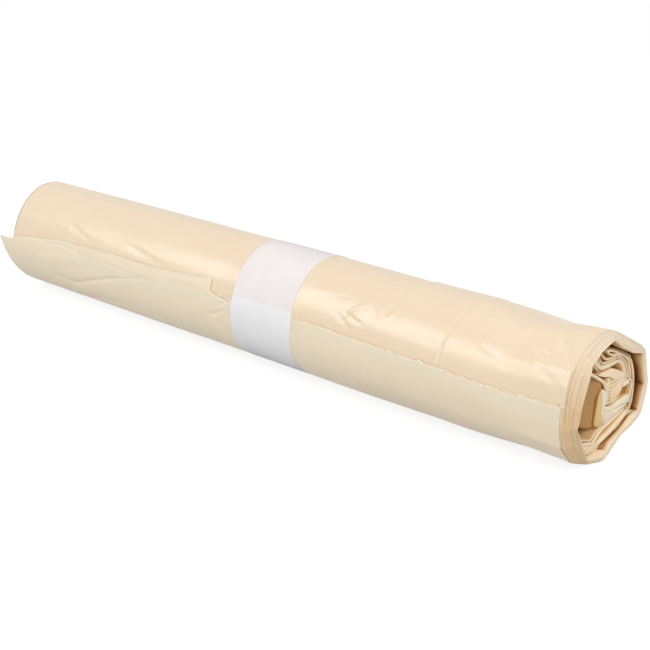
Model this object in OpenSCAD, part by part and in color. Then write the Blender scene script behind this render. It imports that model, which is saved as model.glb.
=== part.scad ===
// Bin bag roll: coreless roll of folded film bags with a paper band round the middle.
// Millimetres. The roll lies along X with its layered end towards +X, Z is up, the flat spot rests on Z = 0.

/* [Roll] */
// Diameter of the wound roll
roll_d = 46; // [30:0.5:80]
// Length of the roll between its two rims
roll_len = 308; // [200:1:500]
// Depth that the soft roll settles by where it rests
flat_sink = 0.5; // [0.2:0.1:1.5]
// Thickness of the outermost folded bag, the step at its free edge
bag_step = 0.5; // [0.2:0.05:1]
// Height of the free edge above the roll's side, in degrees round from the far side
edge_angle = 169; // [160:0.5:180]

/* [Layered end] */
// Number of telescoped steps in the outer turns
end_steps = 5; // [3:1:6]
// Distance that the inner edge of the outer turns stands past the rim
end_stagger = 3.4; // [1:0.1:6]
// Depth of the gap between the outer turns and the coil inside them
gap_depth = 26; // [10:1:60]
// Depth of the valleys between the coil's ribbons
ribbon_valley = 4.5; // [1:0.1:9]
// Height of the folds pressed into the middle
fold_height = 1.2; // [0.4:0.1:3]
// Length over which the round roll eases into the squashed rim
end_ease = 50; // [20:1:90]

/* [Plain end] */
// Distance that the inner edge of the outer turns stands past the far rim
far_stagger = 1.6; // [0.5:0.1:4]
// Depth of the hollow in the far end
far_depth = 14; // [5:1:40]

/* [Loose corner] */
// Reach of the outermost bag's corner past the far rim
corner_reach = 6.6; // [2:0.1:12]
// Distance that the corner stands off the roll
corner_lift = 0.9; // [0.2:0.1:2]

/* [Paper band] */
// Width of the paper band
band_w = 33; // [15:1:80]
// Distance from the layered end's rim to the band's middle
band_from_end = 141; // [60:1:200]
// Thickness of the paper
paper_t = 0.25; // [0.15:0.05:0.6]
// Angle over which the paper's ends overlap
overlap_angle = 42; // [20:1:80]
// Extra width of the paper at its outer end, which is cut askew
band_drift = 0.6; // [0.1:0.1:1.5]
// Free space between the paper and the film
band_gap = 0.04; // [0.02:0.01:0.1]

/* [Hidden] */
film_colour = [0.95, 0.88, 0.76];
paper_colour = [0.94, 0.93, 0.92];
r = roll_d / 2;
// Columns round the roll
columns = 84;
floor_z = flat_sink - r;
band_near = -band_from_end + band_w / 2;
band_far = -band_from_end - band_w / 2;
band_slope = 6;
lip_t = 0.9 * bag_step;
// How far the wound section strays from a circle, as a share of the radius
out_of_round = 0.008;
// The film under the band is squeezed in until the paper lies flush.
squeezed_r = r - paper_t - band_gap;
// Middles of the squashed rim and of the folds pressed into the coil, as shares of the radius
rim_mid = [0.35, -0.3];
block_mid = [0.36, -0.25];

// Outlines of the layered end about those middles: angle, share of the radius
rim_outline = [[0, 0.7], [22, 0.798], [51, 1.031], [68, 1.077], [83, 1.18], [97, 1.309], [106, 1.381],
    [121, 1.441], [133, 1.465], [150, 1.42], [163, 1.345], [179, 1.275], [192, 1.216], [203, 1.142],
    [218, 0.95], [235, 0.82], [251, 0.694], [265, 0.522], [284, 0.403], [325, 0.488], [350, 0.661],
    [360, 0.7]];
crest_outline = [[0, 0.65], [23, 0.75], [52, 0.968], [67, 0.901], [81, 0.952], [101, 1.141],
    [124, 1.184], [135, 1.224], [147, 1.15], [157, 1.1], [177, 1.062], [193, 0.973], [206, 0.97],
    [230, 0.79], [249, 0.64], [265, 0.475], [286, 0.354], [326, 0.444], [351, 0.618], [360, 0.65]];
coil_outline = [[0, 0.57], [22, 0.617], [46, 0.749], [61, 0.83], [75, 0.86], [92, 0.95], [115, 1],
    [124, 1.04], [128, 1.03], [131, 0.66], [140, 0.615], [155, 0.54], [169, 0.51], [190, 0.52],
    [194, 0.87], [198, 0.887], [212, 0.863], [235, 0.69], [256, 0.52], [265, 0.43], [284, 0.31],
    [296, 0.33], [326, 0.4], [338, 0.5], [360, 0.57]];
block_outline = [[0, 0.35], [17, 0.449], [43, 0.523], [70, 0.541], [99, 0.668], [118, 0.594],
    [132, 0.538], [142, 0.484], [157, 0.39], [188, 0.363], [204, 0.372], [219, 0.22], [259, 0.12],
    [330, 0.16], [357, 0.331], [360, 0.35]];
// How far the edges stand past the rim round the end: angle, share
crest_share = [[0, 0], [67, 0], [81, 0.1], [101, 0.36], [124, 0.8], [135, 1], [177, 1], [193, 0.85],
    [206, 0.7], [230, 0.2], [249, 0], [360, 0]];
coil_share = [[0, -0.8], [22, -0.68], [61, -0.68], [92, -0.55], [115, -0.14], [128, 0], [186, 0],
    [194, 0.2], [198, 0.2], [212, 0], [256, -1], [296, -1.15], [338, -1.15], [360, -0.8]];
// How deep the gap round the coil runs: angle, share
gap_share = [[0, 1], [50, 1], [67, 0.8], [92, 0.5], [110, 0.35], [124, 0.25], [128, 0.3], [131, 0.6],
    [135, 0.9], [186, 0.9], [190, 0.6], [194, 0.24], [212, 0.22], [249, 0.3], [284, 0.4], [326, 0.45],
    [338, 0.8], [345, 1], [360, 1]];
// Height of the free edge between band and far rim: share of the way, degrees above the band's part
flap_rise = [[0, 0], [0.08, -2], [0.095, -14], [0.25, -9], [0.55, -8.5], [0.75, -5], [1, 4]];
// Reach of the loose corner down the far rim: share of a turn, share of the reach
corner_shape = [[0, 0.06], [0.012, 1], [0.03, 0.8], [0.06, 0.5], [0.11, 0.22], [0.2, 0.06], [1, 0.06]];

function circle_angle(a) = a - 360 * floor(a / 360);
function eased(t) = t <= 0 ? 0 : t >= 1 ? 1 : t * t * (3 - 2 * t);
function settled(p, low) = [p[0], p[1], max(p[2], low)];

// Angle of the free edge along the roll
function free_edge(x) =
    x >= band_far ? edge_angle + 3 * eased(1 + x / end_ease) + 0.8 * sin(x * 4)
    : edge_angle + lookup((band_far - x) / (roll_len + band_far), flap_rise);

// One column of the wound surface, a spiral that steps in by one bag in a turn
function wound_angle(x, i) = free_edge(x) + 360 * i / columns;
function squeeze(x) =
    min(1, max(0, min(band_near + band_slope - x, x - band_far + band_slope) / band_slope));
function wound_r(x, i) =
    let (s = squeeze(x), share = i / columns, wave = out_of_round * r * sin(3 * wound_angle(x, i) + 40))
    (1 - s) * (r - bag_step * share + wave) + s * (squeezed_r - band_gap * share);
function end_angle(i) = circle_angle(edge_angle - 7 + 360 * i / columns);
function end_point(outline, mid, i) =
    let (a = end_angle(i), d = r * lookup(a, outline))
    [r * mid[0] + d * cos(a), r * mid[1] + d * sin(a)];
function wound_point(x, i) =
    let (a = wound_angle(x, i), d = wound_r(x, i), w = pow(eased(1 + x / end_ease), 1.3))
    let (e = end_point(rim_outline, rim_mid, i) * (1 - bag_step / r * i / columns))
    settled([x, (1 - w) * d * cos(a) + w * e[0], (1 - w) * d * sin(a) + w * e[1]],
        floor_z + squeeze(x) * (paper_t + band_gap));
function wound_ring(x) = [for (i = [0 : columns]) wound_point(x, i)];

// Stations along the roll, far rim to near rim, as shares of the three stretches between its parts
flap_shares = [0.97, 0.9, 0.75, 0.55, 0.35, 0.2, 0.097, 0.078];
middle_shares = [0.3, 0.6];
end_shares = [1, 0.8, 0.62, 0.46, 0.32, 0.2, 0.1, 0.03, 0];
band_inset = 0.5;
stations = concat(
    [for (s = flap_shares) band_far - s * (roll_len + band_far)],
    [band_far - band_slope, band_far - band_inset, band_near + band_inset, band_near + band_slope],
    [for (s = middle_shares) (band_near + band_slope) * (1 - s) - end_ease * s],
    [for (s = end_shares) -end_ease * s]);

// Points on the layered end, one for each column
rim_points = [for (i = [0 : columns - 1]) let (p = wound_point(0, i)) [p[1], p[2]]];
crest_points = [for (i = [0 : columns - 1]) end_point(crest_outline, rim_mid, i)];
coil_points = [for (i = [0 : columns - 1]) end_point(coil_outline, rim_mid, i)];
block_points = [for (i = [0 : columns - 1]) end_point(block_outline, block_mid, i)];
crest_x = [for (i = [0 : columns - 1]) end_stagger * lookup(end_angle(i), crest_share)];
coil_x = [for (i = [0 : columns - 1]) end_stagger * lookup(end_angle(i), coil_share)];
gap_x = [for (i = [0 : columns - 1]) -gap_depth * lookup(end_angle(i), gap_share)];

// A loop between two of those outlines, at its own depth in each column
function end_loop(outer, inner, share, depths) =
    [for (i = [0 : columns - 1])
        let (p = outer[i] * (1 - share) + inner[i] * share)
        settled([depths[i], p[0], p[1]], floor_z)];
// Deeper in, the gap follows the roll's outside, which gets rounder there.
function gap_loop(share) =
    [for (i = [0 : columns - 1])
        let (q = wound_point(gap_x[i], i), p = crest_points[i] * (1 - share) + coil_points[i] * share)
        settled([gap_x[i], q[1] + p[0] - rim_points[i][0], q[2] + p[1] - rim_points[i][1]], floor_z)];
stack_loops = [for (k = [0 : end_steps - 1], half = [0.08, 0.92])
    end_loop(rim_points, crest_points, (k + half) / end_steps, crest_x * (k + 1) / end_steps)];
gap_loops = [gap_loop(0.1), gap_loop(0.9)];
function ribbon_x(k) =
    [for (i = [0 : columns - 1])
        coil_x[i] * (1 - 0.28 * k) + 0.12 * end_stagger * sin(3 * end_angle(i) + 90 * k)];
function valley_x(k) =
    [for (i = [0 : columns - 1]) coil_x[i] - ribbon_valley * (0.75 + 0.25 * sin(2 * end_angle(i) + 70 * k))];
// Each ribbon has a flat top and a valley behind it, as shares of the way from the coil to its folds.
ribbons = 3;
ribbon_top = 0.16;
valley_from = 0.19;
valley_to = 0.31;
ribbon_loops = [for (k = [0 : ribbons - 1])
    each [
        end_loop(coil_points, block_points, k / ribbons, ribbon_x(k)),
        end_loop(coil_points, block_points, k / ribbons + ribbon_top, ribbon_x(k)),
        end_loop(coil_points, block_points, k / ribbons + valley_from, valley_x(k)),
        end_loop(coil_points, block_points, k / ribbons + valley_to, valley_x(k))]];

// The folds pressed into the middle: slanting pleats and one open pocket
pleat_way = [0.5, 0.87];
pleat_turns = 1300;
pocket_mid = [0.56, 0.02];
pocket_size = 0.16;
fold_shares = [0.02, 0.2, 0.38, 0.56, 0.74, 0.9];
function fold_x(p) =
    let (across = p * pleat_way / r, pocket = norm(p / r - pocket_mid))
    fold_height * (0.5 * sin(across * pleat_turns) - 1.3 * across)
    - ribbon_valley * 0.8 * max(0, 1 - pocket / pocket_size);
fold_loops = [for (s = fold_shares)
    [for (i = [0 : columns - 1])
        let (p = block_points[i] * (1 - s) + r * block_mid * s)
        [fold_x(p), p[0], p[1]]]];
near_tip = [fold_x(r * block_mid), r * block_mid[0], r * block_mid[1]];

// The far end: the lip with its loose corner, then plain turns round a hollow
function lip_lift(i) = i == 0 ? 0 : corner_lift * max(0, 1 - 12 * i / columns);
function lip_point(i, out, inward) =
    let (a = wound_angle(-roll_len, i), d = wound_r(-roll_len, i) + out * lip_lift(i) - inward)
    settled([-roll_len - out * corner_reach * lookup(i / columns, corner_shape), d * cos(a), d * sin(a)],
        floor_z + inward);
lip_rings = [for (step = [[0, lip_t], [1, lip_t], [1, 0], [0, 0]])
    [for (i = [0 : columns]) lip_point(i, step[0], step[1])]];
function far_loop(share, x) =
    [for (i = [0 : columns - 1])
        let (a = wound_angle(-roll_len, i), squash = 0.06 * sin(2 * a + 20) + 0.04 * sin(5 * a))
        let (d = (r - 2.2 * bag_step) * share * (1 - squash * (1 - share)))
        settled([-roll_len - x, d * cos(a), d * sin(a)], floor_z + 2 * bag_step)];
// Rings of the far end from its middle outwards: share of the radius, distance past the rim
coil_dip = -2.5;
coil_top = -0.5;
far_rings = [[0.1, 0], [0.17, coil_dip], [0.24, 0], [0.3, coil_dip], [0.36, coil_top], [0.44, coil_top],
    [0.46, -far_depth], [0.6, -far_depth], [0.62, far_stagger], [0.72, far_stagger],
    [0.74, far_stagger * 2 / 3], [0.84, far_stagger * 2 / 3],
    [0.86, far_stagger / 3], [0.97, far_stagger / 3]];
far_loops = [for (ring = far_rings) far_loop(ring[0], ring[1])];
far_tip = [-roll_len + bag_step, 0, 0];

// Faces between rings: full rings carry one column more than loops, for the step of the spiral.
full = columns + 1;
function full_to_full(a, b) =
    [for (i = [0 : columns]) let (j = (i + 1) % full) each [[a + i, b + j, a + j], [a + i, b + i, b + j]]];
function full_to_loop(a, b) =
    concat([for (i = [0 : columns - 1]) let (j = (i + 1) % columns)
        each [[a + i, b + j, a + i + 1], [a + i, b + i, b + j]]], [[a + columns, b, a]]);
function loop_to_full(a, b) =
    concat([for (i = [0 : columns - 1]) let (j = (i + 1) % columns)
        each [[a + i, b + i + 1, a + j], [a + i, b + i, b + i + 1]]], [[a, b + columns, b]]);
function loop_to_loop(a, b) =
    [for (i = [0 : columns - 1]) let (j = (i + 1) % columns)
        each [[a + i, b + j, a + j], [a + i, b + i, b + j]]];
function joined(parts) = [for (part = parts) each part];

far_part = far_loops;
full_part = concat(lip_rings, [for (x = stations) wound_ring(x)]);
near_part = concat(stack_loops, gap_loops, ribbon_loops, fold_loops);
far_count = len(far_part);
full_count = len(full_part);
near_count = len(near_part);
full_start = far_count * columns;
near_start = full_start + full_count * full;
tip_start = near_start + near_count * columns;
roll_points = concat(joined(far_part), joined(full_part), joined(near_part), [far_tip, near_tip]);
roll_faces = concat(
    [for (i = [0 : columns - 1]) [tip_start, i, (i + 1) % columns]],
    joined([for (k = [0 : far_count - 2]) loop_to_loop(k * columns, (k + 1) * columns)]),
    loop_to_full((far_count - 1) * columns, full_start),
    joined([for (k = [0 : full_count - 2]) full_to_full(full_start + k * full, full_start + (k + 1) * full)]),
    full_to_loop(full_start + (full_count - 1) * full, near_start),
    joined([for (k = [0 : near_count - 2])
        loop_to_loop(near_start + k * columns, near_start + (k + 1) * columns)]),
    [for (i = [0 : columns - 1])
        [tip_start + 1, tip_start - columns + (i + 1) % columns, tip_start - columns + i]]);

// The paper: a ring that is two sheets thick where its ends overlap, and wider at its outer end
paper_edge_angle = edge_angle - 4.7;
thinning_angle = 8;
function paper_sheets(i) = 1 + eased(1 + (overlap_angle - 360 * i / columns) / thinning_angle);
function paper_drift(x, i) = (x == band_near ? band_drift : -band_drift / 4) * (1 - i / columns);
function paper_point(i, x, outside) =
    let (a = paper_edge_angle + 360 * i / columns)
    let (d = squeezed_r + band_gap + (outside ? paper_t * paper_sheets(i) : 0))
    let (askew = outside || i > 0 ? paper_drift(x, i) : 0)
    settled([x + askew, d * cos(a), d * sin(a)], floor_z + (outside ? 0 : paper_t));
paper_out = [for (x = [band_far, band_near], i = [0 : columns]) paper_point(i, x, true)];
paper_in = [for (x = [band_near, band_far], i = [0 : columns - 1]) paper_point(i, x, false)];
paper_points = concat(paper_out, paper_in);
paper_faces = concat(
    full_to_full(0, full), full_to_loop(full, 2 * full), loop_to_loop(2 * full, 2 * full + columns),
    loop_to_full(2 * full + columns, 0));

// Everything is moved so that the middle of the roll's foot is the origin.
all_points = concat(roll_points, paper_points);
part_low = [for (k = [0 : 2]) min([for (p = all_points) p[k]])];
part_high = [for (k = [0 : 2]) max([for (p = all_points) p[k]])];
to_origin = [-(part_low[0] + part_high[0]) / 2, -(part_low[1] + part_high[1]) / 2, -floor_z];

module bag_roll() {
    color(film_colour) {
        translate(to_origin) {
            polyhedron(points = roll_points, faces = roll_faces, convexity = 12);
        }
    }
}

module paper_band() {
    color(paper_colour) {
        translate(to_origin) {
            polyhedron(points = paper_points, faces = paper_faces, convexity = 6);
        }
    }
}

bag_roll();
paper_band();
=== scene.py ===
"""Bin bag roll, dressed for the render: wound film, torn edge, layered end and paper band."""
import math

import bmesh
import bpy
import numpy as np
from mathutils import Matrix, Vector


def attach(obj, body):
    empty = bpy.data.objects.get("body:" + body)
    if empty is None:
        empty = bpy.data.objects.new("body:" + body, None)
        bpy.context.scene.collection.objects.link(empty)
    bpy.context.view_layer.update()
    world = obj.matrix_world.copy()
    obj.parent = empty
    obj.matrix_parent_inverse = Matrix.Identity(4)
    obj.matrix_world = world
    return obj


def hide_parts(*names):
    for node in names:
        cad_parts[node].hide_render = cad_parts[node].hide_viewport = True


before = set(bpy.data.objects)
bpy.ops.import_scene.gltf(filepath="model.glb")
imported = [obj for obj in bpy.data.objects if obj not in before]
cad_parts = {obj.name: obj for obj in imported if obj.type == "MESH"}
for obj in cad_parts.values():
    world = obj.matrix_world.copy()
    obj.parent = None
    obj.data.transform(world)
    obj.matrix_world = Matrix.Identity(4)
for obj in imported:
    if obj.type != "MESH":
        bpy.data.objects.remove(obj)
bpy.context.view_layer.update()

# Driving sizes in millimetres and degrees; x is 0 at the near rim and falls towards the far one, z is up
ROLL_D = 46.0
ROLL_LEN = 308.0
FLAT_SINK = 0.5
BAG_STEP = 0.5
FILM_T = 0.1
EDGE_ANGLE = 169.0
END_STAGGER = 3.4
END_EASE = 50.0
FAR_STAGGER = 1.6
FAR_DEPTH = 14.0
CORNER_REACH = 8.3
CORNER_LIFT = 1.5
BAND_W = 33.0
BAND_FROM_END = 141.0
BAND_SLOPE = 6.0
BAND_GAP = 0.04
PAPER_T = 0.25
OVERLAP_ANGLE = 42.0
# The section's three low lobes: their height, where they start, and how much fuller the foot is
LOBES = 0.8
LOBE_TURN = 164.0
FOOT_FULLER = 0.3
# Towards the near end: how far the outline and the free edge turn, what share of the winding's step and of
# the relief is left, and how late the round section gives way
END_TWIST = 7.0
EDGE_TURN = 3.0
END_STEP = 0.7
END_RELIEF = 0.5
END_LATE = 1.3
# The outer bag's near edge is loose this far round, in turns from the free edge
LOOSE_TO = 0.22

R = ROLL_D / 2
FLOOR_Z = FLAT_SINK - R
BAND_NEAR = -BAND_FROM_END + BAND_W / 2
BAND_FAR = -BAND_FROM_END - BAND_W / 2
SQUEEZED = R - PAPER_T - BAND_GAP
# Where the near rim's middle lies in the part's frame
NEAR_RIM = np.array([155.575, -0.623, ROLL_D / 2 - FLAT_SINK])

# The layered end as straight-sided outlines, y and z in radii, and the middle that they are measured about
RIM_MID = np.array([0.35, -0.3])
RIM_OUTLINE = [
    (0.01, 1.03), (0.24, 0.965), (0.58, 0.785), (0.9, 0.6), (1.0, 0.52), (1.025, 0.44), (1.12, 0.0),
    (1.105, -0.14), (1.01, -0.44), (0.95, -0.51), (0.79, -0.6), (0.52, -0.695), (0.44, -0.745),
    (0.13, -0.975), (0.0, -0.965), (-0.33, -0.9), (-0.65, -0.79), (-0.86, -0.52), (-0.91, -0.21),
    (-0.9, 0.1), (-0.86, 0.36), (-0.75, 0.6), (-0.52, 0.85), (-0.22, 1.0)]
CREST_OUTLINE = [
    (0.16, 0.84), (0.4, 0.68), (0.73, 0.51), (0.955, 0.455), (0.965, 0.3), (1.045, -0.03), (0.925, -0.4),
    (0.735, -0.58), (0.47, -0.655), (0.28, -0.8), (0.1, -0.905), (-0.3, -0.85), (-0.36, -0.81),
    (-0.45, -0.68), (-0.565, -0.505), (-0.65, -0.353), (-0.737, -0.227), (-0.7, -0.15), (-0.647, 0.083),
    (-0.547, 0.353), (-0.467, 0.563), (-0.455, 0.633), (-0.367, 0.663), (-0.187, 0.763)]
# How far the crest stands out beyond the rim: degrees, share of END_STAGGER
CREST_SHARE = [
    (0, 0), (67, 0), (81, 0.1), (101, 0.36), (124, 0.8), (135, 1), (177, 1), (193, 0.85), (206, 0.7),
    (230, 0.2), (249, 0), (360, 0)]
# Free edges of the two outer plies: radii from the near rim, degrees
TOP_PLY_EDGE = [
    (-14, 177), (-13.39, 176), (-13.2, 173.5), (-12.6, 170), (-11.8, 168.8), (-10.8, 172), (-9.9, 174),
    (-9.3, 174.6), (-8.9, 175.2), (-8.75, 172), (-8.4, 169.5), (-7.45, 167), (-7.2, 170), (-6.9, 172.5),
    (-5.4, 170.5), (-5.1, 168), (-4.6, 168.3), (-4.2, 169.5), (-3.4, 170.5), (-2.2, 171.5), (-1.8, 173),
    (-1.4, 174.3), (-0.6, 175), (0, 173.5)]
UNDER_PLY_EDGE = [
    (-14, 178.5), (-13.39, 177.5), (-13.2, 172.5), (-12.5, 167.5), (-11.8, 164), (-10.5, 160.5), (-9, 161),
    (-8.4, 159), (-7.7, 155.5), (-7.2, 154.5)]
# The loose corner along the far rim: turns from the free edge, share of CORNER_REACH
CORNER_SHAPE = [(0, 1.0), (0.03, 0.67), (0.06, 0.4), (0.09, 0.22), (0.12, 0.12), (0.18, 0.07), (1.1, 0.06)]

# Outlines are worked out every so many degrees, and noise covers so many millimetres along the roll
FINE_STEP = 0.5
FINE = np.arange(0, 360, FINE_STEP)
NOISE_SPAN = 700.0


def curve(pairs):
    """A function that runs straight from each pair's value to the next one's."""
    a = np.array(pairs, float)
    return lambda v: np.interp(v, a[:, 0], a[:, 1])


def outline_reach(points):
    """How far an outline lies from RIM_MID at each half degree, in radii."""
    p = np.array(points, float) - RIM_MID
    way = np.roll(p, -1, axis=0) - p
    t = np.radians(FINE)[:, None]
    dx, dy = np.cos(t), np.sin(t)
    across = dx * way[:, 1] - dy * way[:, 0]
    far = (p[:, 0] * way[:, 1] - p[:, 1] * way[:, 0]) / across
    share = (p[:, 0] * dy - p[:, 1] * dx) / across
    return np.where((share >= 0) & (share <= 1) & (far > 0), far, 0).max(1)


def rounded(value, blur):
    """A function of an angle from a value at each half degree, with corners rounded over blur degrees."""
    n = round(blur / FINE_STEP)
    total = sum(np.roll(value, k) for k in range(-n, n + 1)) / (2 * n + 1)
    return lambda a: np.interp(np.mod(a, 360), np.append(FINE, 360), np.append(total, total[0]))


def eased(t):
    """A smooth step from 0 to 1."""
    t = np.clip(t, 0, 1)
    return t * t * (3 - 2 * t)


def fades(t, start, width):
    """1 up to start, 0 from width beyond it."""
    return 1 - eased((t - start) / width)


def noise(u, v, size, around, seed):
    """Smooth seeded noise from -1 to 1 over u in mm and v in turns, which repeats after a turn."""
    rng = np.random.default_rng(seed)
    grid = rng.uniform(-1, 1, (int(NOISE_SPAN / size) + 4, around))
    p = (u + NOISE_SPAN / 2) / size
    q = np.mod(v, 1) * around
    i, j = np.floor(p).astype(int), np.floor(q).astype(int)
    fi, fj = eased(p - i), eased(q - j)
    j0, j1 = j % around, (j + 1) % around
    a = grid[i, j0] * (1 - fj) + grid[i, j1] * fj
    b = grid[i + 1, j0] * (1 - fj) + grid[i + 1, j1] * fj
    return a * (1 - fi) + b * fi


def places(start, *legs):
    """Places from start to each leg's end in turn, a leg having as many points as it says, ends counted."""
    out = []
    for end, count in legs:
        out.append(np.linspace(start, end, count)[:-1])
        start = end
    return np.append(np.concatenate(out), start)


rim_share = rounded(outline_reach(RIM_OUTLINE), 1.5)
crest_share = rounded(outline_reach(CREST_OUTLINE), 0.5)
crest_rise = rounded(curve(CREST_SHARE)(FINE), 4)
top_edge = curve([(a * R, b) for a, b in TOP_PLY_EDGE])
under_edge = curve([(a * R, b) for a, b in UNDER_PLY_EDGE])
corner_shape = curve(CORNER_SHAPE)


def squeeze(x):
    """1 under the paper band, 0 away from it."""
    return np.clip(np.minimum(BAND_NEAR + BAND_SLOPE - x, x - BAND_FAR + BAND_SLOPE) / BAND_SLOPE, 0, 1)


def end_weight(x):
    """How far the round section has turned into the layered end's outline."""
    return eased(1 + x / END_EASE) ** END_LATE


def end_angle(turn):
    return EDGE_ANGLE - END_TWIST + 360 * turn


def end_outline(share, turn, inset=0.0):
    """y and z on the layered end: a share table, turns round from the free edge, mm further in."""
    a = end_angle(turn)
    d = R * share(a) - inset
    t = np.radians(a)
    return R * RIM_MID[0] + d * np.cos(t), R * RIM_MID[1] + d * np.sin(t)


# Waves all over the film: height and size in mm, how many round a turn, seed
WAVES = [(0.16, 60, 7, 11), (0.08, 24, 11, 12), (0.02, 9, 40, 13)]
# Creases and soft folds: x in hundredths of a radius and degrees of one end and of the other, then width,
# depth and lean in hundredths of a mm
CREASES = [
    (-218, 104, -217, 124, 60, 9, 10), (-217, 123, -220, 136, 55, 15, 16),
    (-220, 135, -225, 152, 50, 22, 24), (-225, 151, -226, 169, 50, 20, 16),
    (-452, 147, -416, 159, 140, 8, 16), (-449, 143, -413, 151, 130, 6, 12),
    (-413, 151, -396, 153, 80, 14, 20), (-420, 147, -397, 137, 80, -32, 26),
    (-410, 149, -395, 143, 60, -14, 24), (-352, 138, -347, 132, 60, 14, 24),
    (-342, 143, -333, 132, 60, -14, 26), (-375, 141, -360, 146, 70, -12, 20),
    (-480, 139, -440, 133, 120, 6, 5), (-290, 147, -250, 152, 120, 8, 5), (-75, 123, -35, 136, 100, 20, 24),
    (-45, 131, -5, 149, 90, 24, 26), (-95, 132, -50, 146, 100, 20, 24), (-150, 145, -110, 154, 130, 14, 16),
    (-62, 152, -12, 163, 100, 16, 20), (-130, 128, -95, 140, 120, 12, 16), (-52, 126, -22, 138, 70, 14, 20),
    (-75, 140, -35, 152, 80, 14, 20), (-349, 138, -344, 130, 50, 14, 26), (-336, 144, -325, 135, 50, 14, 26),
    (-331, 136, -322, 127, 60, 10, 20), (-431, 156, -412, 147, 60, 12, 24),
    (-1245, 140, -1210, 148, 130, 6, 15), (-1160, 142, -1110, 150, 140, 6, 16),
    (-1040, 140, -950, 148, 200, 7, 17), (-960, 146, -860, 157, 200, 8, 16),
    (-402, 136, -398, 143, 60, 8, 12), (-739, 189, -726, 188, 90, 28, 28),
    (-726, 188, -702, 181, 80, 30, 30), (-713, 194, -697, 203, 90, 36, 34),
    (-697, 203, -693, 217, 90, 38, 34), (-747, 209, -738, 218, 100, 24, 20),
    (-730, 200, -720, 207, 90, -18, 14), (-712, 182, -683, 177, 70, -12, 10),
    (-720, 216, -710, 229, 100, -18, 16), (-770, 213, -762, 226, 120, 20, 14),
    (-830, 185, -790, 180, 140, 10, 10), (-922, 212, -832, 216, 180, 28, 24),
    (-1260, 206, -1210, 212, 120, 20, 20), (-520, 214, -460, 226, 220, 20, 10),
    (-370, 215, -20, 221, 450, 35, 50), (-160, 196, -20, 214, 360, 25, 30),
    (-1200, 204, -1128, 206, 140, 40, 36), (-1140, 206, -1074, 195, 100, 42, 42),
    (-1080, 196, -1014, 186, 80, 42, 42), (-1020, 187, -929, 176, 70, 30, 30),
    (-1160, 229, -1083, 218, 130, 34, 32), (-1090, 219, -961, 210, 130, 32, 32),
    (-1270, 221, -1230, 216, 120, 22, 18), (-1240, 190, -1130, 183, 260, -25, 20),
    (-1300, 200, -1250, 188, 200, 20, 10), (-1278, 152, -1272, 148, 60, -10, 6),
    (-1248, 153, -1220, 145, 60, -10, 8), (-1176, 148, -1157, 154, 70, -10, 6),
    (-1145, 141, -1122, 147, 70, -10, 6), (-1100, 135, -1020, 148, 200, 6, 5),
    (-940, 135, -870, 149, 220, 6, 5), (-1030, 120, -940, 128, 220, 6, 5), (-820, 95, -790, 140, 250, 5, 5)]
# Places where the outer film has slipped and stands a little higher on one side: radii, degrees, mm.
# SLIP_SIZE says how wide the step is round the roll, how far it fades along it and how sharp it is, in mm.
SLIPS = [(-3.34, 76, 0.18), (-1.99, 78, -0.2), (-0.59, 86, 0.15), (-5.25, 85, 0.1), (-11.6, 100, 0.12)]
SLIP_SIZE = (16, 14, 0.9)


def relief(x, angle):
    """How far the film stands off its even winding, in mm, at x in mm and an angle in degrees."""
    arc = R * np.radians(np.mod(angle, 360))
    out = sum(height * noise(x, angle / 360, *wave) for height, *wave in WAVES)
    for xa, a, xb, b, *size in CREASES:
        width, depth, lean = (v / 100 for v in size)
        p = np.array([xa / 100 * R, R * math.radians(a)])
        q = np.array([xb / 100 * R, R * math.radians(b)])
        way = q - p
        length = np.hypot(*way)
        t = ((x - p[0]) * way[0] + (arc - p[1]) * way[1]) / length ** 2
        side = ((x - p[0]) * way[1] - (arc - p[1]) * way[0]) / length
        reach = np.maximum(0, np.maximum(-t, t - 1)) * length
        near = np.exp(-(side / width) ** 2 - (reach / width) ** 2 * 0.5)
        out = out - depth * near + lean * (side / width) * near
    wide, long, sharp = SLIP_SIZE
    for xs, a, step in SLIPS:
        near = np.exp(-((arc - R * math.radians(a)) / wide) ** 2) * np.exp(-((x - xs * R) / long) ** 2)
        out = out + step * near * np.tanh((x - xs * R) / sharp)
    return out * (1 - squeeze(x))


def lobed(angle):
    """The pressed roll's section in mm over its radius: three low lobes, fuller at the foot."""
    t = np.radians(angle)
    return LOBES * np.sin(3 * t + math.radians(LOBE_TURN)) + FOOT_FULLER * np.maximum(0, -np.sin(t)) ** 2


def skin(x, turn, edge, inset=0.0, coil=BAG_STEP):
    """Points on the wound film: x in mm, turns from the free edge, that edge's angle, mm below the skin."""
    angle = edge + 360 * turn
    s = squeeze(x)
    off = relief(x, angle)
    d = (1 - s) * (R - coil * turn) + s * (SQUEEZED - BAND_GAP * turn) + lobed(angle) + off - inset
    w = end_weight(x)
    t = np.radians(angle)
    ey, ez = end_outline(rim_share, turn, inset + coil * turn * END_STEP - END_RELIEF * off)
    y = (1 - w) * d * np.cos(t) + w * ey
    z = (1 - w) * d * np.sin(t) + w * ez
    low = FLOOR_Z + s * (PAPER_T + BAND_GAP) + np.maximum(inset, 0)
    return np.stack(np.broadcast_arrays(x, y, np.maximum(z, low)), -1)


def grid_faces(rows, cols, wrap=False, start=0, flip=False):
    """Four-sided faces between the points of a grid, its last column joined to the first where it wraps."""
    i, j = np.meshgrid(np.arange(rows - 1), np.arange(cols if wrap else cols - 1), indexing="ij")
    k = (j + 1) % cols
    quad = np.stack([i * cols + j, i * cols + k, (i + 1) * cols + k, (i + 1) * cols + j], -1) + start
    quad = quad.reshape(-1, 4)
    return quad[:, ::-1] if flip else quad


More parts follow.
